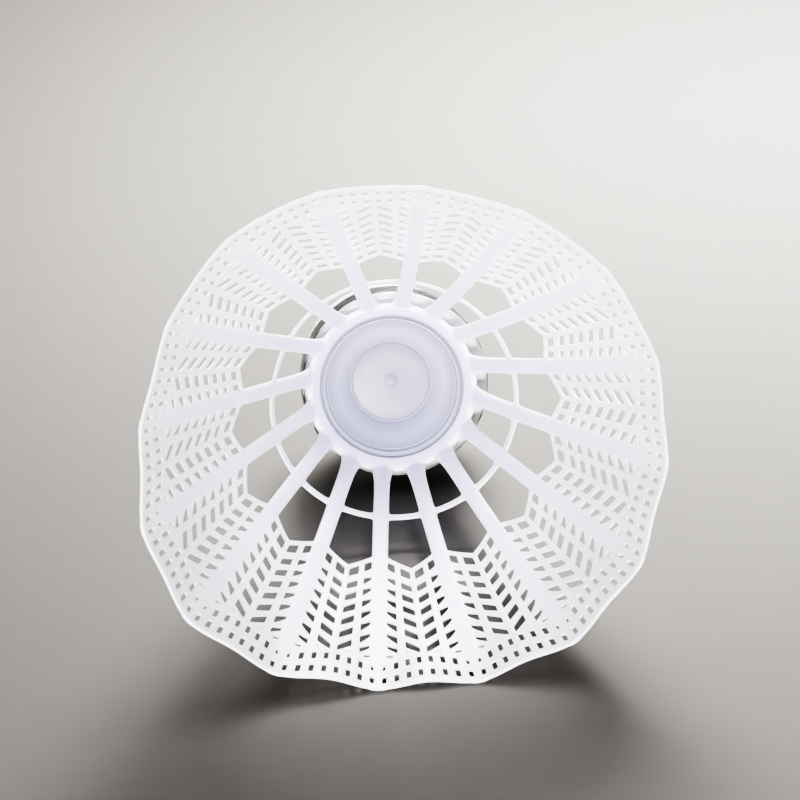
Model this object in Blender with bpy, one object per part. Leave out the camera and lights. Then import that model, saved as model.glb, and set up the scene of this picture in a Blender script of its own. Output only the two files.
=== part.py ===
"""Badminton shuttlecock with a moulded nylon skirt, lying on its side on z = 0, mouth toward -Y.

The skirt is laid out on its own axis: h runs from the collar (h = 0) to the mouth (h = LENGTH), the
head is at negative h, and azimuth is counted round that axis. Sizes here are millimetres; meshes are
in metres.
"""

from math import acos, atan2, cos, hypot, pi, radians, sin

import bmesh
import bpy
from mathutils import Matrix, Vector

MM = 0.001

# ---- skirt: plan ----
STEMS = 16
GAP = 2.0 * pi / STEMS
LENGTH = 62.0  # collar to rim edge
STEM_1 = radians(-96.5)  # azimuth of the first stem
RADIUS = (11.44, 0.306, 0.00068)  # flare: r = a + b h + c h^2, 33 mm at the rim
# The mouth is a little out of round: order, share of the radius, azimuth of a high point.
OUT_OF_ROUND = ((2, 0.0234, radians(9.4)), (3, 0.0191, radians(-21.4)), (4, 0.0217, radians(38.2)))
TWIST = radians(1.8)  # the rim is turned this much against the collar
# The rim dips inward half way between two stems: mean depth, and how much deeper it is underneath.
PLEAT = (0.42, 0.36)
PLEAT_FROM = 26.0
STEM_HALF_WIDTH = 1.05

# Columns of the lattice, as shares of the clear width between two stems.
COLUMNS = (0.0, 0.155, 0.26, 0.455, 0.5, 0.545, 0.74, 0.845, 1.0)
HOLE_COLUMNS = (0, 2, 5, 7)
# Rows of the lattice: height at the stems, how much further the middle of the gap reaches, wall.
ROWS = (
    (28.3, 3.5, 0.55),
    (29.4, 3.5, 0.45),
    (33.2, 3.5, 0.45),
    (35.1, 3.5, 0.45),
    (39.0, 3.5, 0.45),
    (40.9, 3.2, 0.45),
    (45.2, 2.7, 0.45),
    (47.2, 2.1, 0.45),
    (52.8, 0.0, 0.45),
    (55.6, -0.8, 0.50),
    (59.2, -0.8, 0.55),
    (62.0, 0.0, 0.60),
)
HOLE_ROWS = (1, 3, 5, 7, 9)
RING = (15.5, 16.9)
RING_WALL = 0.55
STEM_WALL = (1.2, 0.7)  # at the collar, at the rim

# Middle of the collar and cup wall, (radius, h), from the stem roots inward to the floor.
CUP = ((11.60, 0.05), (10.05, 0.05), (9.70, -0.45), (6.70, -6.50), (5.80, -7.05))
CUP_WALL = 0.9

# ---- head ----
HEAD_RADIUS = 13.0
HEAD_TOP = -1.20
DOME_CENTRE = -13.4
HEAD_COCK = radians(3.0)  # the head is glued on a little askew
HEAD_SHIFT = (0.6, 0.3)  # and off the collar's centre, at its top face
COVER_WALL = 0.75
FIT_GAP = 0.25
BAND = (-2.0, -9.0, 0.20)  # top, bottom, thickness
SEGMENTS = 48


def flare(h):
    a, b, c = RADIUS
    return a + b * h + c * h * h


def seated(r, z, azimuth=0.0):
    """A point of the head, given round its own axis, where it sits on the collar."""
    x, y, z = r * cos(azimuth), r * sin(azimuth), z - HEAD_TOP
    return Vector(
        (
            HEAD_SHIFT[0] + x * cos(HEAD_COCK) + z * sin(HEAD_COCK),
            HEAD_SHIFT[1] + y,
            HEAD_TOP - x * sin(HEAD_COCK) + z * cos(HEAD_COCK),
        )
    )


def skirt_point(azimuth, u, h, offset):
    """A point of the skirt wall; offset is measured along the wall's outward normal."""
    share = h / LENGTH
    r = flare(h)
    turn = TWIST * share
    for order, amount, high in OUT_OF_ROUND:
        amount *= 1.0 - (1.0 - share) ** 3 if order == 2 else share
        r += flare(h) * amount * cos(order * (azimuth - high))
        turn -= amount / order * sin(order * (azimuth - high))
    dip = PLEAT[0] - PLEAT[1] * sin(azimuth)
    azimuth += turn
    depth = max(0.0, (h - PLEAT_FROM) / (LENGTH - PLEAT_FROM)) ** 1.5
    r -= dip * depth * 0.5 * (1.0 - cos(2.0 * pi * u))
    slope = RADIUS[1] + 2.0 * RADIUS[2] * h
    n = hypot(1.0, slope)
    r += offset / n
    return Vector((r * cos(azimuth), r * sin(azimuth), h - offset * slope / n))


def rest_matrix():
    """Lay the shuttlecock down: rim bulges 1 and 2 and the dome of the head touch z = 0."""
    first = skirt_point(STEM_1, 0.0, LENGTH, 0.5 * STEM_WALL[1])
    second = skirt_point(STEM_1 + GAP, 0.0, LENGTH, 0.5 * STEM_WALL[1])
    dome = seated(0.0, DOME_CENTRE)
    edge = (second - first).normalized()
    lean = Vector((0.0, 0.0, -1.0))
    lean = (lean - edge * lean.dot(edge)).normalized()
    side = edge.cross(lean)
    if side.dot(first) < 0:
        side = -side
    reach = first - dome
    a, b = reach.dot(side), reach.dot(lean)
    turn = atan2(b, a) + acos(HEAD_RADIUS / hypot(a, b))
    down = side * cos(turn) + lean * sin(turn)
    up = -down
    mouth = Vector((0.0, 0.0, 1.0))
    mouth = (mouth - up * mouth.dot(up)).normalized()
    right = (-mouth).cross(up)
    rotation = Matrix((right, -mouth, up))
    lift = -(rotation @ first).z
    return rotation, lift


def finish(name, bm, material, parent):
    for v in bm.verts:
        v.co *= MM
    mesh = bpy.data.meshes.new(name)
    bm.to_mesh(mesh)
    bm.free()
    mesh.materials.append(material)
    obj = bpy.data.objects.new(name, mesh)
    obj.parent = parent
    bpy.context.collection.objects.link(obj)
    return obj


def material(name, colour, roughness, metallic=0.0):
    mat = bpy.data.materials.new(name)
    mat.use_nodes = True
    shader = mat.node_tree.nodes["Principled BSDF"]
    shader.inputs["Base Color"].default_value = (*colour, 1.0)
    shader.inputs["Roughness"].default_value = roughness
    shader.inputs["Metallic"].default_value = metallic
    mat.diffuse_color = (*colour, 1.0)
    return mat


def build_skirt(mat, parent):
    """One moulding: cup, collar, stems, cross ring and lattice as a sheet of cells, given its wall by Solidify."""
    bm = bmesh.new()
    made = {}
    last = len(COLUMNS) - 1
    middle = last // 2

    def vertex(row, gap, column):
        """The crossing of a row with a column of a gap, and its wall thickness."""
        key = (row, gap % STEMS, column)
        if key in made:
            return made[key][0]
        kind, index = row
        reach = 1.0 - abs(2.0 * COLUMNS[column] - 1.0)
        h = {"cup": 0.0, "stem": RING[index] if kind == "stem" else 0.0}.get(kind)
        if h is None:
            h = ROWS[index][0] + ROWS[index][1] * reach
        half = STEM_HALF_WIDTH / flare(h)
        azimuth = STEM_1 + gap * GAP + half + COLUMNS[column] * (GAP - 2.0 * half)
        if kind == "cup":
            r, z = CUP[index]
            made[key] = (bm.verts.new((r * cos(azimuth), r * sin(azimuth), z)), CUP_WALL)
            return made[key][0]
        if column in (0, last):
            wall = STEM_WALL[0] + (STEM_WALL[1] - STEM_WALL[0]) * h / LENGTH
        else:
            wall = RING_WALL if kind == "stem" else ROWS[index][2]
        u = (azimuth - STEM_1) / GAP - gap
        made[key] = (bm.verts.new(skirt_point(azimuth, u, h, 0.0)), wall)
        return made[key][0]

    def cell(low, high, a, b):
        """A cell between two rows and two columns, each column a (gap, column) pair."""
        bm.faces.new((vertex(low, *a), vertex(low, *b), vertex(high, *b), vertex(high, *a)))

    floor = bm.verts.new((0.0, 0.0, CUP[-1][1]))
    made["floor"] = (floor, CUP_WALL)
    for gap in range(STEMS):
        stem = ((gap - 1, last), (gap, 0))
        halves = (((gap, 0), (gap, middle)), ((gap, middle), (gap, last)))
        for low, high in (("cup", 0), ("stem", 0)), (("stem", 0), ("stem", 1)), (("stem", 1), ("lattice", 0)):
            cell(low, high, *stem)
        for a, b in halves:
            cell(("stem", 0), ("stem", 1), a, b)
        for a, b in (stem, *halves):
            for k in range(len(CUP) - 1):
                cell(("cup", k + 1), ("cup", k), a, b)
            foot = ("cup", len(CUP) - 1)
            bm.faces.new((floor, vertex(foot, *b), vertex(foot, *a)))
        for k in range(len(ROWS) - 1):
            low, high = ("lattice", k), ("lattice", k + 1)
            cell(low, high, *stem)
            for c in range(last):
                if k not in HOLE_ROWS or c not in HOLE_COLUMNS:
                    cell(low, high, (gap, c), (gap, c + 1))

    bm.verts.index_update()
    walls = [(v.index, wall / STEM_WALL[0]) for v, wall in made.values()]
    skirt = finish("skirt", bm, mat, parent)
    group = skirt.vertex_groups.new(name="wall")
    for index, share in walls:
        group.add([index], share, "REPLACE")
    solid = skirt.modifiers.new("wall", "SOLIDIFY")
    solid.thickness = STEM_WALL[0] * MM
    solid.offset = 0.0
    solid.vertex_group = group.name
    return skirt


def turned(name, profile, mat, parent):
    """Spin a half section of (r, z) points about the Z axis; it starts and ends on the axis, or closes on itself."""
    bm = bmesh.new()
    points = [bm.verts.new((r, 0.0, z)) for r, z in profile]
    ends = zip(points, points[1:])
    if profile[0][0] > 0.0:
        ends = zip(points, points[1:] + points[:1])
    edges = [bm.edges.new(pair) for pair in ends]
    bmesh.ops.spin(
        bm,
        geom=points + edges,
        axis=(0.0, 0.0, 1.0),
        cent=(0.0, 0.0, 0.0),
        angle=2.0 * pi,
        steps=SEGMENTS,
        use_merge=True,
    )
    bmesh.ops.remove_doubles(bm, verts=bm.verts, dist=1e-4)
    bmesh.ops.recalc_face_normals(bm, faces=bm.faces)
    obj = finish(name, bm, mat, parent)
    obj.data.shade_smooth()
    obj.data.set_sharp_from_angle(angle=radians(35.0))
    return obj


def dome(radius, steps=8):
    """Quarter circle from the side of the head down to its pole."""
    turns = [0.5 * pi * k / steps for k in range(steps)]
    return [(radius * cos(t), DOME_CENTRE - radius * sin(t)) for t in turns] + [(0.0, DOME_CENTRE - radius)]


for obj in list(bpy.data.objects):
    bpy.data.objects.remove(obj, do_unlink=True)

nylon = material("moulded nylon", (0.88, 0.88, 0.91), 0.42)
cork = material("cork", (0.56, 0.40, 0.24), 0.85)
leather = material("white PU leather", (0.86, 0.86, 0.85), 0.5)
foil = material("silver foil", (0.62, 0.63, 0.65), 0.22, 1.0)

rotation, lift = rest_matrix()
OFFSET = (0.002, 20.718, 0.081)  # puts the middle of the footprint over the origin, on the surface
root = bpy.data.objects.new("shuttlecock", None)
root.matrix_world = Matrix.Translation(Vector((OFFSET[0], OFFSET[1], OFFSET[2] + lift)) * MM) @ rotation.to_4x4()
bpy.context.collection.objects.link(root)
seat = bpy.data.objects.new("head_seat", None)
seat.location = seated(0.0, 0.0) * MM
seat.rotation_euler = (0.0, HEAD_COCK, 0.0)
seat.parent = root
bpy.context.collection.objects.link(seat)

build_skirt(nylon, root)

inner = HEAD_RADIUS - COVER_WALL
core = inner - FIT_GAP
turned(
    "cork_core",
    [(0.0, -8.40), (7.60, -8.40), (8.40, -7.40), (10.75, -2.2), (11.2, HEAD_TOP - 0.3), (core, HEAD_TOP - 0.3)]
    + dome(core),
    cork,
    seat,
)
turned(
    "leather_cover",
    list(reversed(dome(inner)))
    + [(inner, HEAD_TOP - 0.3), (inner + 0.2, HEAD_TOP), (HEAD_RADIUS - 0.3, HEAD_TOP), (HEAD_RADIUS, HEAD_TOP - 0.35)]
    + dome(HEAD_RADIUS),
    leather,
    seat,
)
top, bottom, thick = BAND
clear = HEAD_RADIUS + FIT_GAP
turned(
    "foil_band",
    [(clear, top), (clear, bottom), (clear + thick, bottom), (clear + thick, top)],
    foil,
    seat,
)
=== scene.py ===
# %% [markdown]
# # A nylon shuttlecock on a pale table
# A shuttlecock with a moulded skirt is four pieces: one nylon moulding (cup, stems, cross ring and
# lattice), a cork, a white leather cover pulled over the cork, and a strip of foil wrapped round it.
# The plain solids already exist in the frame, with their real sizes. This lesson gives each of them
# its fine surface and its finish, in the same place.
# The first cell loads that frame and prints the size of each plain solid.

# %% Load the frame
from math import radians

import bpy
import numpy as np
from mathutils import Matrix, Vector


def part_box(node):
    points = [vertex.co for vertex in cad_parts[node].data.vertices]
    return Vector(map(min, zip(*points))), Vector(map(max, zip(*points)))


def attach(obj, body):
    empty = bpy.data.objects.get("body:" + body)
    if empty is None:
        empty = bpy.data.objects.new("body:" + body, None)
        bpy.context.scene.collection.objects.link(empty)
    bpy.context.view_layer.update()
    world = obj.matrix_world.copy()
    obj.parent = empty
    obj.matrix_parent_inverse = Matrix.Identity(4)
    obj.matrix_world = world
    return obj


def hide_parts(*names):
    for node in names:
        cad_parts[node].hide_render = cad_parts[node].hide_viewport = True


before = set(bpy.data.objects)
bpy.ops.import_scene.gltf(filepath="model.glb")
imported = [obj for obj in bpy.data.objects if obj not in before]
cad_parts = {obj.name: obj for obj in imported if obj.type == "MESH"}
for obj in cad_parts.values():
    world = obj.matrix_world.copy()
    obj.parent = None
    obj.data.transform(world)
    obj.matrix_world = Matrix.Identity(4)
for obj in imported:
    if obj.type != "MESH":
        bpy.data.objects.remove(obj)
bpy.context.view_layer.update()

for name in sorted(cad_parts):
    low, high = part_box(name)
    print(f"{name}: {[round(1000 * (b - a), 1) for a, b in zip(low, high)]} mm")

# %% [markdown]
# ## Colours and nodes
# Screens store colours as sRGB, while the renderer adds up light, so it needs linear numbers. One
# function turns a hex colour into linear light. A second one adds a shader node with its settings and
# its links, and short ones round it name the few nodes used here, so that each material below reads as
# a short list of what it is made of.

# %% Helpers for every material
MM = 0.001


def linear(hex_colour):
    """Each channel of sRGB above 0.04 is ((c + 0.055) / 1.055) to the power 2.4, below it c / 12.92."""
    share = np.array([int(hex_colour[k : k + 2], 16) for k in (1, 3, 5)]) / 255.0
    light = np.where(share > 0.04045, ((share + 0.055) / 1.055) ** 2.4, share / 12.92)
    return (*light.tolist(), 1.0)


def add_node(tree, kind, inputs=None, **settings):
    """Add one node. Settings are its properties; an input is a value, or a socket that is linked to it."""
    made = tree.nodes.new(kind)
    for name, value in settings.items():
        setattr(made, name, value)
    for name, value in (inputs or {}).items():
        if isinstance(value, bpy.types.NodeSocket):
            tree.links.new(value, made.inputs[name])
        else:
            made.inputs[name].default_value = value
    return made


def new_material(name):
    """An empty material with one Principled shader; returns its tree, that shader and Object coordinates."""
    made = bpy.data.materials.new(name)
    made.use_nodes = True
    tree = made.node_tree
    place = add_node(tree, "ShaderNodeTexCoord").outputs["Object"]
    return made, tree, tree.nodes["Principled BSDF"], place


def blend(tree, amount, first, second, mode="MIX"):
    """Mix two colours by an amount; mode MULTIPLY multiplies them."""
    inputs = {0: amount, 6: first, 7: second}
    return add_node(tree, "ShaderNodeMix", inputs, data_type="RGBA", blend_type=mode).outputs[2]


def spread(tree, value, low, high, to_low=0.0, to_high=1.0):
    """Map a value linearly from one range to another, clamped at both ends."""
    inputs = {"Value": value, "From Min": low, "From Max": high, "To Min": to_low, "To Max": to_high}
    return add_node(tree, "ShaderNodeMapRange", inputs).outputs[0]


def noise(tree, place, size, detail):
    """Soft noise whose features are about size mm apart."""
    inputs = {"Vector": place, "Scale": 1.0 / (size * MM), "Detail": detail}
    return add_node(tree, "ShaderNodeTexNoise", inputs).outputs[0]


def cells(tree, place, size, feature="F1"):
    """A Voronoi node with cells about size mm across."""
    inputs = {"Vector": place, "Scale": 1.0 / (size * MM)}
    return add_node(tree, "ShaderNodeTexVoronoi", inputs, feature=feature)


def bumps(tree, height, strength, depth):
    """A bump whose full depth is in mm."""
    inputs = {"Height": height, "Strength": strength, "Distance": depth * MM}
    return add_node(tree, "ShaderNodeBump", inputs).outputs[0]


def plug(tree, shader, colour, roughness, normal):
    """Link the three sockets that every material here drives."""
    tree.links.new(colour, shader.inputs["Base Color"])
    tree.links.new(roughness, shader.inputs["Roughness"])
    tree.links.new(normal, shader.inputs["Normal"])


print("white", linear("#ffffff")[:3], "mid grey", [round(c, 3) for c in linear("#808080")[:3]])

# %% [markdown]
# ## The camera
# A long lens from about half a metre looks almost straight into the mouth, a little from above. The
# long lens keeps the cup and the rim in nearly the same scale, which is what makes the sixteen stems
# read as a wheel. No lens shift and no blur are needed. The AgX tone curve keeps the tints of bright
# nylon, which would otherwise clip to plain white. Its very high contrast look keeps the openings dark,
# and a raised exposure brings the pale table back up.

# %% Camera
CAMERA_PLACE = (-4.96, -483.50, 201.25)  # mm
CAMERA_TURN = (69.555, 4.023, -2.178)  # degrees
LENS = 171.4  # mm, on a 36 mm sensor
EXPOSURE = 1.3  # stops

lens = bpy.data.cameras.new("camera")
lens.lens = LENS
lens.sensor_width = 36.0
lens.clip_start = 0.01
camera = bpy.data.objects.new("camera", lens)
camera.location = np.array(CAMERA_PLACE) * MM
camera.rotation_euler = np.radians(CAMERA_TURN)
bpy.context.collection.objects.link(camera)
bpy.context.scene.camera = camera
view = bpy.context.scene.view_settings
view.view_transform = "AgX"
view.look = "AgX - Very High Contrast"
view.exposure = EXPOSURE
print("camera at", CAMERA_PLACE, "mm, exposure", EXPOSURE, "stops")

# %% [markdown]
# ## Where the shuttlecock lies
# All shapes below are worked out round the shuttlecock's own axis, which is easier than working in
# the table's frame: h is the height above the collar towards the mouth, and the head is below h = 0.
# It lies on two rim bulges and on the dome of the head, so one rotation and one move put everything
# in place: a roll round its own axis, then a lean of 76.5 degrees that lays it down.

# %% From the shuttlecock's own axis to the table
LEAN = radians(76.537)
ROLL = radians(-4.4205)
COLLAR_PLACE = np.array((0.002, 20.718, 15.903))  # centre of the collar, mm


def turn_x(angle):
    """Rotation about X."""
    c, s = np.cos(angle), np.sin(angle)
    return np.array(((1, 0, 0), (0, c, -s), (0, s, c)))


def turn_y(angle):
    """Rotation about Y."""
    c, s = np.cos(angle), np.sin(angle)
    return np.array(((c, 0, s), (0, 1, 0), (-s, 0, c)))


def turn_z(angle):
    """Rotation about Z."""
    c, s = np.cos(angle), np.sin(angle)
    return np.array(((c, -s, 0), (s, c, 0), (0, 0, 1)))


LAY = turn_x(LEAN) @ turn_z(ROLL)


def lay_down(points):
    """Points in mm on the shuttlecock's own axis become metres on the table: rotate, then move."""
    return (points @ LAY.T + COLLAR_PLACE) * MM


print("mouth points to", np.round(LAY[:, 2], 3))

# %% [markdown]
# ## The flare of the skirt
# The wall of the skirt is one curved sheet. Seen from the side it widens almost straight, with a hint
# of a trumpet. A moulded skirt that has been packed in a tube is never quite round, so the radius also
# carries three slow waves, and between two stems the wall dips inward a little near the rim, which
# gives the scalloped edge. One function of (place round the axis, height, depth in the wall) holds all
# of that, and everything that is moulded in nylon is drawn on it.

# %% The skirt's wall as a function
STEMS = 16
GAP = 2.0 * np.pi / STEMS  # from one stem to the next
STEM_1 = radians(-96.5)
LENGTH = 62.0  # collar to rim
RADIUS = (11.44, 0.306, 0.00068)  # base, slope, and share of the height squared, mm
# The waves round the mouth: order, share of the radius, direction of a high point.
OUT_OF_ROUND = ((2, 0.0234, radians(9.4)), (3, 0.0191, radians(-21.4)), (4, 0.0217, radians(38.2)))
TWIST = radians(1.8)  # the rim is turned this much against the collar
PLEAT = (0.42, 0.36)  # mean depth of the dips between stems, and how much deeper they are underneath
PLEAT_FROM = 26.0  # height where the dips start


def flare(h):
    """Radius = base + slope times height + a small share of height squared."""
    return RADIUS[0] + RADIUS[1] * h + RADIUS[2] * h**2


def skirt_wall(u, h, offset):
    """A point of the wall. u counts stems round the axis; offset is measured outward through the wall.

    The radius is the flare, plus each wave times its cosine, minus a pleat that follows
    (1 - cos(2 pi u)) / 2 between stems and is deepest underneath. The wave of order 2 grows fast from
    the collar, as 1 minus (1 - share of the height) cubed, and the others grow with the height. Each
    wave also slides the wall sideways by its sine over its order, so that the length round the rim
    stays the same. The offset goes along the normal.
    """
    share = h / LENGTH
    azimuth = STEM_1 + u * GAP
    r = flare(h)
    turn = TWIST * share
    for order, amount, high in OUT_OF_ROUND:
        grown = amount * (1.0 - (1.0 - share) ** 3 if order == 2 else share)
        r = r + flare(h) * grown * np.cos(order * (azimuth - high))
        turn = turn - grown / order * np.sin(order * (azimuth - high))
    depth = np.clip((h - PLEAT_FROM) / (LENGTH - PLEAT_FROM), 0.0, None) ** 1.5
    dip = PLEAT[0] - PLEAT[1] * np.sin(azimuth)
    r = r - dip * depth * 0.5 * (1.0 - np.cos(2.0 * np.pi * u))
    slope = RADIUS[1] + 2.0 * RADIUS[2] * h
    n = np.hypot(1.0, slope)
    r = r + offset / n
    azimuth = azimuth + turn
    return np.stack((r * np.cos(azimuth), r * np.sin(azimuth), h - offset * slope / n), axis=-1)


print("radius at collar, middle, rim:", [round(float(flare(h)), 2) for h in (0.0, 31.0, LENGTH)], "mm")

# %% [markdown]
# ## The lattice as one grid
# The lattice could be cut with hundreds of Boolean holes, but a cut leaves long thin faces. Here the
# whole moulding is one grid of lines instead, running round the axis and up to the rim, and a hole is
# a block of cells that is left out. The lines bend so that the holes get their slanted shape, and the
# corners of each block are pulled in a little, which rounds them as a mould does.
# Half a gap is drawn, from the middle of a stem to the middle of the gap, with 17 points on a line:
# 5 over half the stem, an outer hole, the quarter line, an inner hole, and half the middle line.

# %% Points along one line of half a gap
STEM_HALF_WIDTH = 1.05
OUTER_HOLE = (0.0, 0.155)  # as a share of the clear width between two stems
INNER_HOLE = (0.26, 0.455)
SHARE = np.concatenate(
    (
        np.linspace(-1.0, 0.0, 5),
        np.linspace(*OUTER_HOLE, 5)[1:],
        [0.5 * (OUTER_HOLE[1] + INNER_HOLE[0])],
        np.linspace(*INNER_HOLE, 5),
        [0.5 * (INNER_HOLE[1] + 0.5), 0.5],
    )
)
STEM_CELLS = 4
HOLE_POINTS = {"outer": slice(4, 9), "inner": slice(10, 15)}
CORNER_PULL = 0.05  # how far the corners of a hole are pulled in, as a share of its half size
RING = 16.2  # height of the cross ring
ROOT = 1.2  # where the stems leave the collar
ROOT_FILLET = (0.55, 2.0)  # extra half width at the collar, and the height over which it fades, mm
RING_FILLET = (0.12, 0.8)


def stem_half(h):
    """Half the stem's width: constant, and wider by a fading fillet at the collar and at the ring."""
    at_root = ROOT_FILLET[0] * np.exp(-(h - ROOT) / ROOT_FILLET[1])
    at_ring = RING_FILLET[0] * np.exp(-np.abs(h - RING) / RING_FILLET[1])
    return STEM_HALF_WIDTH + at_root + at_ring


def across(share, h):
    """Place round the axis, in gaps: -1 to 0 covers half the stem, 0 to 0.5 half the clear width."""
    half = stem_half(h) / flare(h) / GAP
    return np.where(share < 0.0, half * (1.0 + share), half + share * (1.0 - 2.0 * half))


print(len(SHARE), "points on half a gap, shares", np.round(SHARE, 3))

# %% [markdown]
# ## Rows of holes
# On the real skirt the rows are chevrons, nearly parallel to the V that closes each long window. The
# outer holes narrow towards the stem, where a gusset joins it; the inner ones are almost
# parallelograms. Each row is four grid lines. A hole is given by where it starts and ends across the
# gap, and by its half height in mm at those two ends.

# %% A row of slanted holes
ROW_LEVELS = np.array((-1.0, -1.0 / 3.0, 1.0 / 3.0, 1.0))[:, None]


def chevron(row, share):
    """Height of a row's middle: at the stem, plus slope times the share, minus bend times its square."""
    x = np.clip(share, 0.0, None)
    return row["stem"] + row["slope"] * x - row.get("bend", 0.0) * x**2


def row_lines(row):
    """Four grid lines of a row and which cells are solid.

    The lines are the row's middle plus or minus its half height. Inside a hole, a point (a, b) of
    the square from -1 to 1 goes to a times the half width and b times the half height, both times
    1 - corner pull times a squared b squared, which rounds the corners.
    """
    share = np.tile(SHARE, (4, 1))
    height = chevron(row, share) + ROW_LEVELS * np.interp(SHARE, (0.15, 0.3), row["band"])
    solid = np.ones((3, len(SHARE) - 1), bool)
    for column, points in HOLE_POINTS.items():
        if column not in row:
            continue
        left, right, half_left, half_right = row[column]
        a = np.linspace(-1.0, 1.0, 5)
        pull = 1.0 - CORNER_PULL * a**2 * ROW_LEVELS**2
        share[:, points] = 0.5 * (left + right) + 0.5 * (right - left) * a * pull
        half = half_left + (half_right - half_left) * 0.5 * (a + 1.0)
        height[:, points] = chevron(row, share[:, points]) + half * ROW_LEVELS * pull
        solid[:, points.start : points.stop - 1] = False
    return share, height, solid


FIRST_ROW = {
    "stem": 30.55,
    "slope": 6.8,
    "band": (1.2, 1.2),
    "outer": (0.0, 0.155, 1.15, 1.30),
    "inner": (0.26, 0.455, 1.32, 1.20),
}
PITCH = 2.97  # from one full row to the next, mm
OUTER_TAPER = (0.0, 0.155, 0.50, 1.05)
INNER_SHAPE = (0.260, 0.455, 1.05, 0.92)
LAST_INNER = (0.260, 0.455, 1.0, 0.80)
rows = [FIRST_ROW]
for k in range(6):
    row = {"stem": 34.28 + PITCH * k, "slope": 7.0 + 0.72 * k, "band": (0.9, 0.8)}
    row["outer"] = OUTER_TAPER
    row["inner"] = INNER_SHAPE if k < 5 else LAST_INNER
    rows.append(row)
short_row = {"stem": 52.05, "slope": 9.4, "bend": 6.6, "band": (0.70, 0.05)}
short_row["outer"] = (0.01, 0.150, 0.45, 0.72)
short_row["inner"] = (0.262, 0.300, 0.16, 0.16)
last_row = {"stem": 54.45, "slope": 2.3, "bend": 1.6, "band": (0.34, 0.04)}
last_row["outer"] = (0.0, 0.085, 0.26, 0.34)
rows += [short_row, last_row]
print(len(rows), "rows of chevron holes from", rows[0]["stem"], "to", rows[-1]["stem"], "mm")

# %% [markdown]
# ## The perforated rim
# Past the chevrons the rim is a plain strip with two rows of small upright holes, eight to a gap, that
# follow the scalloped edge. The grid lines slide from the lattice's spacing to an even one there.

# %% Lines of the rim
RIM_HOLES = 8
RIM_HOLE_HALF_WIDTH = 0.025  # in gaps, about 0.33 mm
cell = np.arange(RIM_HOLES // 2)[:, None] / RIM_HOLES
centre = 0.5 / RIM_HOLES
RIM_U = np.append(cell + (0.0, centre - RIM_HOLE_HALF_WIDTH, centre, centre + RIM_HOLE_HALF_WIDTH), 0.5)


def rim_curve(middle, rise):
    """Height along the rim: lowest in the middle of a gap, rising as the square of the way to the stem."""
    return middle + rise * (1.0 - 2.0 * RIM_U) ** 2


def rim_lines(middle, rise, half_height, first_size):
    """Four grid lines of a row of upright holes; the hole beside the stem is first_size times the others."""
    a = np.tile((0.0, -1.0, 0.0, 1.0), RIM_HOLES // 2)
    size = np.where(np.arange(16) < 4, first_size, 1.0)
    pull = 1.0 - CORNER_PULL * a**2 * ROW_LEVELS**2
    is_hole = np.tile((False, True, True, True), RIM_HOLES // 2)
    u = np.tile(RIM_U, (4, 1))
    shift = RIM_HOLE_HALF_WIDTH * a * (pull * size - 1.0)
    u[:, :16] += np.where(is_hole, shift, 0.0)
    height = rim_curve(middle, rise) + half_height * ROW_LEVELS
    height[:, :16] += np.where(is_hole, half_height * ROW_LEVELS * (pull * size - 1.0), 0.0)
    solid = np.ones((3, 16), bool)
    solid[:, np.tile((False, True, True, False), RIM_HOLES // 2)] = False
    return u, height, solid


print("rim holes:", 2 * RIM_HOLES * STEMS, "each about 0.65 x 1.9 mm")

# %% [markdown]
# ## Stack the lines
# Between the collar and the lattice only the stems and the thin cross ring exist, so most cells of
# those rows are left out. Stacking the lines from the collar to the rim gives the whole half gap;
# its mirror image and fifteen turns make the rest.

# %% Half a gap from collar to rim
u_lines, h_lines, solid_rows = [], [], []
stem_only = np.arange(16) < STEM_CELLS
everywhere = np.ones(16, bool)


def add_line(u, h, solid_above):
    """Append one grid line, and which cells between it and the next line are solid."""
    u_lines.append(u)
    h_lines.append(h)
    solid_rows.append(solid_above)


def add_share_line(share, h, solid_above):
    """Append a line given by shares across the gap."""
    add_line(across(share, h), h, solid_above)


for h in (ROOT, 1.9, 3.0, 5.0, 8.0, 11.0, 13.5, 14.9):
    add_share_line(SHARE, np.full(17, h), stem_only)
RING_HALF = 0.62  # half the ring's height; it widens where it meets a stem
ring_fillet = 0.35 * np.exp(-np.clip(SHARE, 0.0, None) / 0.035)
for level in (-1.0, 0.0, 1.0):
    height = RING + level * (RING_HALF + ring_fillet)
    add_share_line(SHARE, height, everywhere if level < 1.0 else stem_only)
for h in (17.6, 19.0, 21.5, 24.0, 26.3):
    add_share_line(SHARE, np.full(17, h), stem_only)

V_AT_STEM, V_SLOPE = 28.35, 6.6
v_line = V_AT_STEM + V_SLOPE * np.clip(SHARE, 0.0, None)
add_share_line(SHARE, v_line, everywhere)
add_share_line(SHARE, 0.5 * (v_line + chevron(rows[0], SHARE) - rows[0]["band"][0]), everywhere)
for k, row in enumerate(rows):
    share, height, solid = row_lines(row)
    for level in range(4):
        add_share_line(share[level], height[level], solid[level] if level < 3 else everywhere)
    if k + 1 < len(rows):
        between = 0.5 * (chevron(row, SHARE) + chevron(rows[k + 1], SHARE))
        between += 0.5 * np.interp(SHARE, (0.15, 0.3), np.subtract(row["band"], rows[k + 1]["band"]))
        add_share_line(SHARE, between, everywhere)

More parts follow.
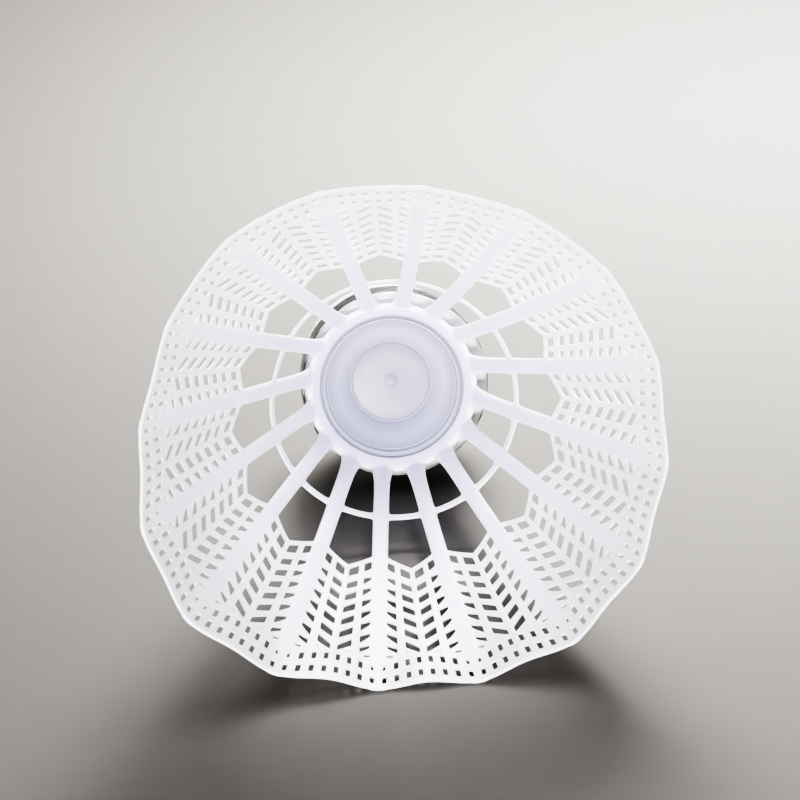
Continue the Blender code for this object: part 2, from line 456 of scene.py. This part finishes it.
# Middle height, rise towards the stem, half height, and size of the hole beside the stem.
RIM_ROWS = ((56.25, 1.45, 0.95, 0.6), (59.45, 0.95, 0.92, 0.9))
RIM_BETWEEN = (57.85, 1.2)
RIM_BEAD = (60.95, 0.55)
RIM_EDGE = (61.75, 0.25)
for k, rim_row in enumerate(RIM_ROWS):
    u, height, solid = rim_lines(*rim_row)
    for level in range(4):
        add_line(u[level], height[level], solid[level] if level < 3 else everywhere)
    if k == 0:
        add_line(RIM_U, rim_curve(*RIM_BETWEEN), everywhere)
add_line(RIM_U, rim_curve(*RIM_BEAD), everywhere)
add_line(RIM_U, rim_curve(RIM_EDGE[0] - 0.25, RIM_EDGE[1]), everywhere)
add_line(RIM_U, rim_curve(*RIM_EDGE), everywhere)

half_u, half_h = np.array(u_lines), np.array(h_lines)
half_solid = np.array(solid_rows[:-1])
gap_u = np.hstack((half_u, 1.0 - half_u[:, -2:0:-1]))
gap_h = np.hstack((half_h, half_h[:, -2:0:-1]))
gap_solid = np.hstack((half_solid, half_solid[:, ::-1]))
skirt_u = np.hstack([gap_u + k for k in range(STEMS)])
skirt_h = np.tile(gap_h, STEMS)
skirt_solid = np.tile(gap_solid, STEMS)
print("grid of", skirt_u.shape, "points;", int((~skirt_solid).sum()), "cells left out")

# %% [markdown]
# ## How thick the nylon is
# The stems are rounded ribs that taper from the collar to the rim; the lattice is a thin web, and the
# rim ends in a small bead. Every edge of a moulded part is softer than its middle, so the wall is
# thinned where a cell is missing. In the lattice the ribs stand out mostly on the back: the face, which
# is the mould's core side, is nearly flush.

# %% Wall thickness at every grid point
STEM_WALL = (1.15, 0.80, 0.45)  # at the three heights below
STEM_WALL_AT = (0.0, 50.0, 58.0)
WEB_WALL = 0.32
BEAD_WALL = 0.55
EDGE_SHARE = 0.72  # what is left of the wall beside an opening
RIB_HALF_WIDTH = 1.15  # the rib has faded out at this distance from the stem's middle, mm
FLUSH_FROM = (24.0, 30.0)  # heights between which the ribs move to the back
FACE_SHARE = 0.12  # of a rib's extra thickness, there


def open_edge(solid):
    """True at grid points where some cells around them are solid and some aren't."""
    padded = np.vstack((np.zeros((1, solid.shape[1]), bool), solid, np.zeros((1, solid.shape[1]), bool)))
    around = [padded[:-1], padded[1:], np.roll(padded, 1, axis=1)[:-1], np.roll(padded, 1, axis=1)[1:]]
    return np.any(around, axis=0) & ~np.all(around, axis=0)


to_stem = np.abs(skirt_u - np.round(skirt_u)) * GAP * flare(skirt_h)  # mm to the nearest stem's middle
rib = np.clip(1.0 - (to_stem / RIB_HALF_WIDTH) ** 4, 0.0, None)
stem_wall = np.interp(skirt_h, STEM_WALL_AT, STEM_WALL)
bead = (BEAD_WALL - WEB_WALL) * np.exp(-(((LENGTH - 0.5 - skirt_h) / 0.7) ** 2))
wall = WEB_WALL + (stem_wall - WEB_WALL) * rib + bead
wall *= np.where(open_edge(skirt_solid), EDGE_SHARE, 1.0)
flush = np.clip((skirt_h - FLUSH_FROM[0]) / (FLUSH_FROM[1] - FLUSH_FROM[0]), 0.0, 1.0)
inward = 0.5 * np.minimum(wall, WEB_WALL) + FACE_SHARE * np.clip(wall - WEB_WALL, 0.0, None)
inward = (1.0 - flush) * 0.5 * wall + flush * inward
print("wall from", round(float(wall.min()), 2), "to", round(float(wall.max()), 2), "mm")

# %% [markdown]
# ## The cup and the collar
# In the middle the stems grow out of a flat collar round a cup, which plugs into the cork. From the
# mouth one sees a double line where the lip steps down, the leaning wall, a round floor, and the
# small nub that the moulding gate leaves. It is a turned profile, with as many points round as the
# lattice, so that the two join without a seam. Each entry pairs a point of the visible face with one
# of the back.

# %% Turned profile of the cup, from the floor to the collar
# radius and height of the face, then radius and height of the back, mm
CUP = (
    (0.45, -6.49, 0.45, -7.50),
    (0.75, -6.55, 0.75, -7.50),
    (1.00, -6.62, 1.00, -7.50),
    (1.25, -6.64, 1.25, -7.50),
    (3.60, -6.64, 3.60, -7.50),
    (5.35, -6.62, 5.35, -7.50),
    (5.48, -6.66, 5.50, -7.50),
    (5.62, -6.80, 5.70, -7.45),
    (5.86, -6.70, 5.95, -7.38),
    (6.10, -6.10, 6.45, -6.95),
    (7.60, -3.30, 8.10, -3.90),
    (9.00, -1.15, 9.70, -1.40),
    (9.20, -1.22, 9.85, -1.50),
    (9.34, -0.40, 10.05, -1.30),
    (9.58, 0.00, 10.20, -1.20),
    (9.76, -0.50, 10.35, -1.15),
    (9.98, -0.55, 10.55, -1.05),
    (10.14, 0.28, 10.80, -0.80),
    (10.55, 0.50, 11.10, -0.60),
    (11.05, 0.78, 11.60, -0.30),
)
FLOOR_POLE = (-6.46, -7.50)  # face and back, on the axis

columns = skirt_u.shape[1]
around = STEM_1 + skirt_u[0] * GAP


def turned(r, z, azimuth):
    """Every (r, z) of a profile at every azimuth: r cos, r sin, z."""
    r, z = np.asarray(r)[:, None], np.asarray(z)[:, None]
    return np.stack(np.broadcast_arrays(r * np.cos(azimuth), r * np.sin(azimuth), z), axis=-1)


cup = np.array(CUP)
cup_face = turned(cup[:, 0], cup[:, 1], around)
cup_back = turned(cup[:, 2], cup[:, 3], around)
print("cup:", len(CUP), "rings, floor at", CUP[3][1], "mm, lip at", CUP[14][1], "mm")

# %% [markdown]
# ## From two layers of points to one closed shell
# The wall has a face, seen from the mouth, and a back. Both get the grid's quads, the back turned the
# other way round, and along every edge of a hole a strip of quads joins the two. At the floor of the
# cup a fan of triangles closes each pole. All of it is array arithmetic on point numbers.

# %% Close the grid into a shell
def shell_faces(solid):
    """Quads of the face, of the back, and of the strips along open edges, as point numbers.

    Point (i, j) of the face has number i * columns + j, and the back's numbers follow the face's.
    A strip runs along each grid edge that has a solid cell on one side only.
    """
    rows_, cols = solid.shape
    number = np.arange((rows_ + 1) * cols).reshape(rows_ + 1, cols)
    nxt = np.roll(number, -1, axis=1)
    back = number.size
    i, j = np.nonzero(solid)
    face = np.stack((number[i, j], number[i + 1, j], nxt[i + 1, j], nxt[i, j]), axis=1)
    quads = [face, face[:, ::-1] + back]

    def strip(start, end):
        quads.append(np.stack((start, end, end + back, start + back), axis=1))

    before = np.roll(solid, 1, axis=1)
    i, j = np.nonzero(solid & ~before)
    strip(number[i + 1, j], number[i, j])
    i, j = np.nonzero(before & ~solid)
    strip(number[i, j], number[i + 1, j])
    padded = np.vstack((solid, np.zeros((1, cols), bool)))
    below = np.vstack((np.ones((1, cols), bool), solid))  # the fan closes the lowest line
    i, j = np.nonzero(padded & ~below)
    strip(number[i, j], nxt[i, j])
    i, j = np.nonzero(below & ~padded)
    strip(nxt[i, j], number[i, j])
    return np.concatenate(quads)


def new_piece(name, points, faces, material, sharp_angle=40.0):
    """A mesh object from points in mm on the shuttlecock's axis, laid down, smooth but for sharp edges."""
    used = np.unique(np.concatenate([f.ravel() for f in faces]))
    renumber = np.zeros(len(points), int)
    renumber[used] = np.arange(len(used))
    mesh = bpy.data.meshes.new(name)
    renumbered = [tuple(f) for group in faces for f in renumber[group].tolist()]
    mesh.from_pydata(lay_down(points[used]), [], renumbered)
    mesh.materials.append(material)
    mesh.shade_smooth()
    mesh.set_sharp_from_angle(angle=radians(sharp_angle))
    piece = bpy.data.objects.new(name, mesh)
    bpy.context.collection.objects.link(piece)
    print(f"{name}: {len(mesh.vertices)} points, {len(mesh.polygons)} faces")
    return piece, used


print("shell_faces and new_piece are ready")

# %% [markdown]
# ## Moulded nylon
# Natural white nylon 6 is milky: light enters it and comes out a little way off, which is why thin
# webs glow when lit from behind. So the shader gets subsurface scattering with a depth of 0.6 mm, on a
# very pale base that is faintly blue where it is thick. Its surface copies a fine spark-eroded mould,
# so the gloss is soft: a roughness near 0.4 and a grain of about 0.15 mm, with slow flow marks some
# 6 mm apart. One number at each point, called wall, steers the tint. Up to 1 it is how thick the wall
# is, in mm; from 1 to 2 it is painted shade, how far the colour goes towards a lavender grey.

# %% Nylon material
NYLON_THICK = "#e7e7ff"
NYLON_THIN = "#f4f4fd"
# painted shade: the lavender grey towards which the cup, its grooves and the collar are darkened
NYLON_PAINTED_SHADE = "#7f7b90"
CUP_PAINTED_SHADE = 2.0  # the wall attribute's value where the cup's floor gets its full painted shade
NYLON_IOR = 1.53
GRAIN = 0.15  # mm
FLOW_MARK = 6.0  # mm
NYLON_ROUGHNESS = (0.36, 0.48)
NYLON_DEPTH = 0.6  # mm


def nylon_material():
    """Milky white nylon: tint bluer where the wall is thick, painted shade in the cup and on the collar,
    fine mould grain, and slow flow marks in the gloss.
    """
    made, tree, shader, place = new_material("moulded white nylon 6")
    thickness_and_painted_shade = add_node(tree, "ShaderNodeAttribute", attribute_name="wall").outputs["Fac"]
    thick = spread(tree, thickness_and_painted_shade, 0.45, 1.0)
    free = blend(tree, thick, linear(NYLON_THIN), linear(NYLON_THICK))
    # from 1 to 2 the wall number is painted shade, mixing the colour towards the lavender grey
    painted_shade_amount = spread(tree, thickness_and_painted_shade, 1.0, CUP_PAINTED_SHADE)
    tint = blend(tree, painted_shade_amount, free, linear(NYLON_PAINTED_SHADE))
    cloud = noise(tree, place, FLOW_MARK, 3.0)
    milky = blend(tree, 1.0, tint, spread(tree, cloud, 0.3, 0.7, 0.965, 1.0), "MULTIPLY")
    gloss = spread(tree, cloud, 0.3, 0.7, *NYLON_ROUGHNESS)
    plug(tree, shader, milky, gloss, bumps(tree, noise(tree, place, GRAIN, 2.0), 0.12, 0.03))
    shader.inputs["IOR"].default_value = NYLON_IOR
    shader.inputs["Subsurface Weight"].default_value = 0.6
    shader.inputs["Subsurface Radius"].default_value = (1.0, 1.0, 1.05)
    shader.inputs["Subsurface Scale"].default_value = NYLON_DEPTH * MM
    return made


nylon = nylon_material()
print("nylon tints", NYLON_THIN, NYLON_THICK)

# %% [markdown]
# ## One moulding
# The cup and the wall are stacked into one grid and closed into one shell. In the cup the wall number
# is set by radius and paints shade: most on the floor, less on the leaning wall, as two darker lines in
# the grooves of the lip, and least on the collar.

# %% The skirt moulding
# Painted shade by radius: the wall number of each ring of the cup and the collar.
PAINTED_SHADE_AT = (5.4, 6.2, 8.8, 9.1, 9.2, 9.4, 9.6, 9.76, 9.98, 10.2, 11.1)  # radius, mm
PAINTED_SHADE_IS = (CUP_PAINTED_SHADE, 1.52, 1.45, 1.9, 1.9, 1.35, 1.35, 1.9, 1.9, 1.4, 1.3)

skirt_face = skirt_wall(skirt_u, skirt_h, -inward)
skirt_back = skirt_wall(skirt_u, skirt_h, wall - inward)
face = np.concatenate((cup_face, skirt_face))
back = np.concatenate((cup_back, skirt_back))
solid = np.vstack((np.ones((len(CUP), columns), bool), skirt_solid))
quads = shell_faces(solid)
floor_poles = [(0, 0, FLOOR_POLE[0]), (0, 0, FLOOR_POLE[1])]
points = np.concatenate((face.reshape(-1, 3), back.reshape(-1, 3), floor_poles))
first = np.arange(columns)
pole = np.full(columns, len(points) - 2)
fan = np.stack((pole, first, np.roll(first, -1)), axis=1)
back_fan = np.stack((pole + 1, np.roll(first, -1) + face[..., 0].size, first + face[..., 0].size), axis=1)
skirt, kept = new_piece("nylon_skirt", points, (quads, fan, back_fan), nylon)
# The cup's rings carry painted shade; the skirt carries its wall, up to 1 mm.
cup_painted_shade = np.interp(cup[:, 0], PAINTED_SHADE_AT, PAINTED_SHADE_IS)[:, None] * np.ones((1, columns))
wall_and_painted_shade = np.concatenate((cup_painted_shade, np.minimum(wall, 1.0))).ravel()
wall_and_painted_shade = np.concatenate((wall_and_painted_shade, wall_and_painted_shade, (CUP_PAINTED_SHADE, CUP_PAINTED_SHADE)))
wall_number = skirt.data.attributes.new("wall", "FLOAT", "POINT")
wall_number.data.foreach_set("value", wall_and_painted_shade[kept].astype(np.float32))
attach(skirt, "root")
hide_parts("skirt")

# %% [markdown]
# ## The head
# The head is a cork ball-end, 26 mm across, glued on a little askew: its axis leans 3 degrees and its
# top face sits 0.6 mm to the side and 0.3 mm up. Its pieces are turned shapes. A half section is
# carried round the axis, and small sums of sines make it less perfect than a lathe would.

# %% Turned pieces of the head
HEAD_TOP = -1.20
DOME_CENTRE = -13.4
HEAD_RADIUS = 13.0
HEAD_COCK = radians(3.0)
HEAD_SHIFT = np.array((0.6, 0.3))
TURNS = 192
COCK = turn_y(HEAD_COCK)


def seat(points):
    """From the head's own axis to the skirt's: tilt about the top face, then shift."""
    pivot = np.array((0.0, 0.0, HEAD_TOP))
    return (points - pivot) @ COCK.T + pivot + np.array((*HEAD_SHIFT, 0.0))


def arc(centre_r, centre_z, radius, start, end, steps):
    """Points on a circle in the half section, from one angle to another, in degrees from outward to up."""
    t = np.radians(np.linspace(start, end, steps))
    return np.stack((centre_r + radius * np.cos(t), centre_z + radius * np.sin(t)), axis=1)


def turned_faces(rings, columns_, poles):
    """Quads between neighbouring rings of a turned piece; a ring follows the last one unless it has poles."""
    number = np.arange(rings * columns_).reshape(rings, columns_)
    nxt = np.roll(number, -1, axis=1)
    lower, upper = number, np.roll(number, -1, axis=0)
    lower_n, upper_n = nxt, np.roll(nxt, -1, axis=0)
    if not poles:
        return [np.stack((lower, lower_n, upper_n, upper), axis=2).reshape(-1, 4)]
    quads = np.stack((upper, upper_n, lower_n, lower), axis=2)[:-1]
    start, end = rings * columns_, rings * columns_ + 1
    fans = (
        np.stack((np.full(columns_, start), number[0], nxt[0]), axis=1),
        np.stack((np.full(columns_, end), nxt[-1], number[-1]), axis=1),
    )
    return [quads.reshape(-1, 4), *fans]


azimuths = np.linspace(0.0, 2.0 * np.pi, TURNS, endpoint=False)
print("head pieces have", TURNS, "steps round")

# %% [markdown]
# ## Leather cover
# The cover is white polyurethane leather, stretched over the cork while damp, turned over the top edge
# and glued down under the collar. Stretching flattens the grain on the dome and bunches it into small
# radial pleats on the turned-over edge. The pleats are real geometry; the pores, about 0.35 mm apart,
# are bump.

# %% Leather material
LEATHER = "#f2f1f0"
LEATHER_CREASE = "#e6e4e2"
PORE = 0.35  # mm
LEATHER_PATCH = 4.0  # mm
LEATHER_ROUGHNESS = (0.42, 0.56)


def leather_material():
    """White coated leather: pebbled pores, faint darker lines between them in patches, a soft satin gloss."""
    made, tree, shader, place = new_material("white PU leather")
    pores = cells(tree, place, PORE, "DISTANCE_TO_EDGE").outputs[0]
    crease = spread(tree, pores, 0.0, 0.12)
    patch = noise(tree, place, LEATHER_PATCH, 4.0)
    amount = add_node(tree, "ShaderNodeMath", {0: crease, 1: patch}, operation="MAXIMUM").outputs[0]
    colour = blend(tree, amount, linear(LEATHER_CREASE), linear(LEATHER))
    rough = spread(tree, patch, 0.3, 0.7, *LEATHER_ROUGHNESS)
    plug(tree, shader, colour, rough, bumps(tree, crease, 0.2, 0.02))
    shader.inputs["IOR"].default_value = 1.5
    shader.inputs["Subsurface Weight"].default_value = 0.1
    shader.inputs["Subsurface Scale"].default_value = 0.5 * MM
    return made


print("leather pores", PORE, "mm apart, roughness", LEATHER_ROUGHNESS)

# %% Leather cover
COVER_WALL = 0.75
CORE_GAP = 0.05
inner = HEAD_RADIUS - COVER_WALL
outside = np.concatenate(
    (
        [(11.00, HEAD_TOP - 0.02), (11.5, HEAD_TOP), (12.0, HEAD_TOP)],
        arc(HEAD_RADIUS - 0.75, HEAD_TOP - 0.75, 0.75, 90, 0, 7),
        [(HEAD_RADIUS, -4.0), (HEAD_RADIUS, -6.5), (HEAD_RADIUS, -9.5), (HEAD_RADIUS, -11.5)],
        arc(0.0, DOME_CENTRE, HEAD_RADIUS, 0, -88, 34),
    )
)
inside = np.concatenate(
    (
        arc(0.0, DOME_CENTRE, inner, -88, 0, 34),
        [(inner, -9.0), (inner, -4.0)],
        arc(inner - 0.35, HEAD_TOP - 0.75 - 0.35, 0.35, 0, 90, 4),
        [(11.5, HEAD_TOP - 0.75), (11.00, HEAD_TOP - 0.72)],
    )
)


def pleats(profile, azimuth):
    """Small radial folds on the turned-over edge: two sines round, fading within 1.2 mm of the top face."""
    fade = np.exp(-(((HEAD_TOP - profile[:, 1]) / 1.2) ** 2))[:, None]
    return fade * (0.05 * np.sin(37.0 * azimuth + 0.4) + 0.04 * np.sin(53.0 * azimuth + 2.0))


def cover_points():
    """The outside with its pleats and a slow swell, then the inside, both turned round the head's axis."""
    skin = turned(outside[:, 0], outside[:, 1], azimuths)
    swell = 0.04 * np.sin(3.0 * azimuths + 1.0) * np.ones((len(outside), 1))
    r = np.hypot(skin[..., 0], skin[..., 1])
    grow = 1.0 + swell / np.maximum(r, 4.0)
    skin[..., :2] *= grow[..., None]
    skin[..., 2] += pleats(outside, azimuths)
    return np.concatenate((skin, turned(inside[:, 0], inside[:, 1], azimuths)))


leather = leather_material()
cover_grid = cover_points()
ring_count = len(outside)
number = np.arange(cover_grid.shape[0] * TURNS).reshape(-1, TURNS)
# Inner pole up, over the edge, and down to the outer pole.
order = np.concatenate((number[ring_count:], number[:ring_count]))
cover_faces = turned_faces(len(order), TURNS, poles=True)
flat = cover_grid.reshape(-1, 3)
cover_poles = [(0, 0, DOME_CENTRE - inner), (0, 0, DOME_CENTRE - HEAD_RADIUS)]
cover_all = np.concatenate((flat[order.ravel()], cover_poles))
cover, _ = new_piece("leather_cover_fine", seat(cover_all), cover_faces, leather)
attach(cover, "root")
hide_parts("leather_cover")

# %% [markdown]
# ## Cork core
# Under the leather is a turned plug of composition cork: grains of 1 to 2 mm pressed with a binder.
# It is bored for the cup, and almost all of it is hidden, but the part is honest only if it is there.

# %% Cork material
CORK_LIGHT = "#c9a173"
CORK_DARK = "#8a5f38"
CORK_GRAIN = 1.5  # mm
CORK_ROUGHNESS = (0.75, 0.95)


def cork_material():
    """Composition cork: a cell pattern gives each grain its own tone, with dark lines between grains."""
    made, tree, shader, place = new_material("composition cork")
    grain_tone = cells(tree, place, CORK_GRAIN).outputs[1]
    edges = cells(tree, place, CORK_GRAIN, "DISTANCE_TO_EDGE").outputs[0]
    tone = blend(tree, grain_tone, linear(CORK_DARK), linear(CORK_LIGHT))
    seam = spread(tree, edges, 0.0, 0.08)
    colour = blend(tree, seam, linear(CORK_DARK), tone)
    rough = spread(tree, grain_tone, 0.0, 1.0, *CORK_ROUGHNESS)
    plug(tree, shader, colour, rough, bumps(tree, seam, 0.5, 0.1))
    return made


print("cork grains", CORK_GRAIN, "mm across, roughness", CORK_ROUGHNESS)

# %% Cork core
core = inner - CORE_GAP
core_profile = np.concatenate(
    (
        [(4.0, -8.40), (7.60, -8.40), (8.40, -7.40), (10.75, -2.2), (11.2, HEAD_TOP - 0.80)],
        arc(core - 0.4, HEAD_TOP - 0.80 - 0.4, 0.4, 90, 0, 4),
        [(core, -6.0), (core, -9.5)],
        arc(0.0, DOME_CENTRE, core, 0, -88, 24),
    )
)
core_grid = turned(core_profile[:, 0], core_profile[:, 1], azimuths).reshape(-1, 3)
core_all = np.concatenate((core_grid, [(0, 0, -8.40), (0, 0, DOME_CENTRE - core)]))
core_faces = turned_faces(len(core_profile), TURNS, poles=True)
cork, _ = new_piece("cork_core_fine", seat(core_all), core_faces, cork_material())
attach(cork, "root")
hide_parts("cork_core")

# %% [markdown]
# ## Foil band
# A strip of silver metallised tape, 7 mm wide, is wrapped once round the head and overlaps itself by a
# few millimetres. Its metal colour is a dark grey, a painted dark reflection. It is thin and not
# perfectly flat, so its reflections break up into streaks. The overlap is a small step in radius, and
# the crinkles are a sum of sines round and along the band.

# %% Foil material
# painted dark reflection: the silver tape's metal colour is set to a dark grey
FOIL_PAINTED_DARK = "#57595d"
CRINKLE = 1.4  # mm
FOIL_ROUGHNESS = (0.24, 0.42)


def foil_material():
    """Metallised tape: a plain metal with fine crinkles 1 to 2 mm apart and a slightly uneven polish."""
    made, tree, shader, place = new_material("silver metallised tape")
    crinkle = noise(tree, place, CRINKLE, 5.0)
    colour = blend(tree, 1.0, linear(FOIL_PAINTED_DARK), spread(tree, crinkle, 0.3, 0.7, 0.78, 1.0), "MULTIPLY")
    rough = spread(tree, crinkle, 0.3, 0.7, *FOIL_ROUGHNESS)
    plug(tree, shader, colour, rough, bumps(tree, crinkle, 0.25, 0.15))
    shader.inputs["Metallic"].default_value = 1.0
    return made


print("foil crinkles", CRINKLE, "mm apart, roughness", FOIL_ROUGHNESS)

# %% Foil band
BAND_TOP, BAND_BOTTOM = -2.0, -9.0
BAND_INNER, BAND_WALL = 13.10, 0.12
OVERLAP_AT, OVERLAP_STEP = radians(250.0), 0.10


def foil_points():
    """Rings up the outside, then down the inside.

    The outside is the band's radius, plus the overlap step that fades out over 20 degrees, plus crinkles:
    a sine of 23 turns round that drifts along the band, and one of 41 turns. The rings at both edges
    have half the wall, which softens them.
    """
    z = np.linspace(BAND_BOTTOM, BAND_TOP, 15)[:, None]
    since = np.mod(azimuths - OVERLAP_AT, 2.0 * np.pi)
    step = OVERLAP_STEP * np.clip(1.0 - since / radians(20.0), 0.0, 1.0)
    crinkle = 0.018 * np.sin(23.0 * azimuths + 0.9 * z) + 0.010 * np.sin(41.0 * azimuths - 1.7 * z)
    soft = 1.0 - 0.5 * (np.abs(z - 0.5 * (BAND_TOP + BAND_BOTTOM)) > 3.4)
    outer = BAND_INNER + BAND_WALL * soft + step + crinkle
    inner_wall = np.full_like(outer, BAND_INNER - 0.02) + crinkle
    r = np.concatenate((outer, inner_wall[::-1]))
    z = np.broadcast_to(np.concatenate((z, z[::-1])), r.shape)
    return np.stack((r * np.cos(azimuths), r * np.sin(azimuths), z), axis=-1)


band_grid = foil_points()
band_faces = turned_faces(band_grid.shape[0], TURNS, poles=False)
band, _ = new_piece("foil_band_fine", seat(band_grid.reshape(-1, 3)), band_faces, foil_material())
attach(band, "root")
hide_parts("foil_band")

# %% [markdown]
# ## Table and light
# The table is a matt board, warm grey. There are three rectangular lights. A soft box behind and above
# lights the skirt through its open windows, and its shadows fall towards the camera. A smaller one,
# close behind, is aimed across the table to the right and brightens that side. A long low strip far in
# front fills the inside of the skirt, and only grazes the table because it hangs just above it. A dim
# sky fills the rest.

# %% Table
TABLE = "#787570"
TABLE_MOTTLE = 5.0  # mm
TABLE_SIDE = 6.0  # m


def table_material():
    """Matt painted board: an even tone with a very faint mottling of a few millimetres."""
    made, tree, shader, place = new_material("matt pale board")
    mottle = noise(tree, place, TABLE_MOTTLE, 4.0)
    colour = blend(tree, 1.0, linear(TABLE), spread(tree, mottle, 0.0, 1.0, 0.97, 1.03), "MULTIPLY")
    tree.links.new(colour, shader.inputs["Base Color"])
    shader.inputs["Roughness"].default_value = 0.8
    shader.inputs["Specular IOR Level"].default_value = 0.1
    return made


table_mesh = bpy.data.meshes.new("table")
side = 0.5 * TABLE_SIDE
corners = [(-side, -side, 0), (side, -side, 0), (side, side, 0), (-side, side, 0)]
table_mesh.from_pydata(corners, [], [(0, 1, 2, 3)])
table_mesh.materials.append(table_material())
table = bpy.data.objects.new("table", table_mesh)
bpy.context.collection.objects.link(table)
print("table", TABLE_SIDE, "m square")

# %% Lights
SKY = "#e8e8ec"
SKY_STRENGTH = 0.05


def soft_box(name, place, target, width, height, watts):
    """A rectangular area light at a place, in metres, turned so that it faces its target."""
    light = bpy.data.lights.new(name, "AREA")
    light.shape = "RECTANGLE"
    light.size = width
    light.size_y = height
    light.energy = watts
    lamp = bpy.data.objects.new(name, light)
    bpy.context.collection.objects.link(lamp)
    lamp.location = place
    direction = np.subtract(target, place)
    flat_length = np.hypot(direction[0], direction[1])
    lean = np.arctan2(flat_length, -direction[2])
    turn = np.arctan2(direction[1], direction[0]) - 0.5 * np.pi
    lamp.rotation_euler = (lean, 0.0, turn)
    return lamp


soft_box("back_light", (0.04, 0.50, 0.46), (0.0, 0.05, 0.0), 0.40, 0.36, 2.0)
soft_box("low_light", (0.07, 0.20, 0.21), (0.26, 0.19, 0.0), 0.20, 0.20, 1.6)
soft_box("front_light", (-0.10, -1.20, 0.075), (0.0, 0.0, 0.05), 0.90, 0.12, 14.0)
world = bpy.data.worlds.new("studio")
bpy.context.scene.world = world
world.use_nodes = True
sky = world.node_tree.nodes["Background"]
sky.inputs["Color"].default_value = linear(SKY)
sky.inputs["Strength"].default_value = SKY_STRENGTH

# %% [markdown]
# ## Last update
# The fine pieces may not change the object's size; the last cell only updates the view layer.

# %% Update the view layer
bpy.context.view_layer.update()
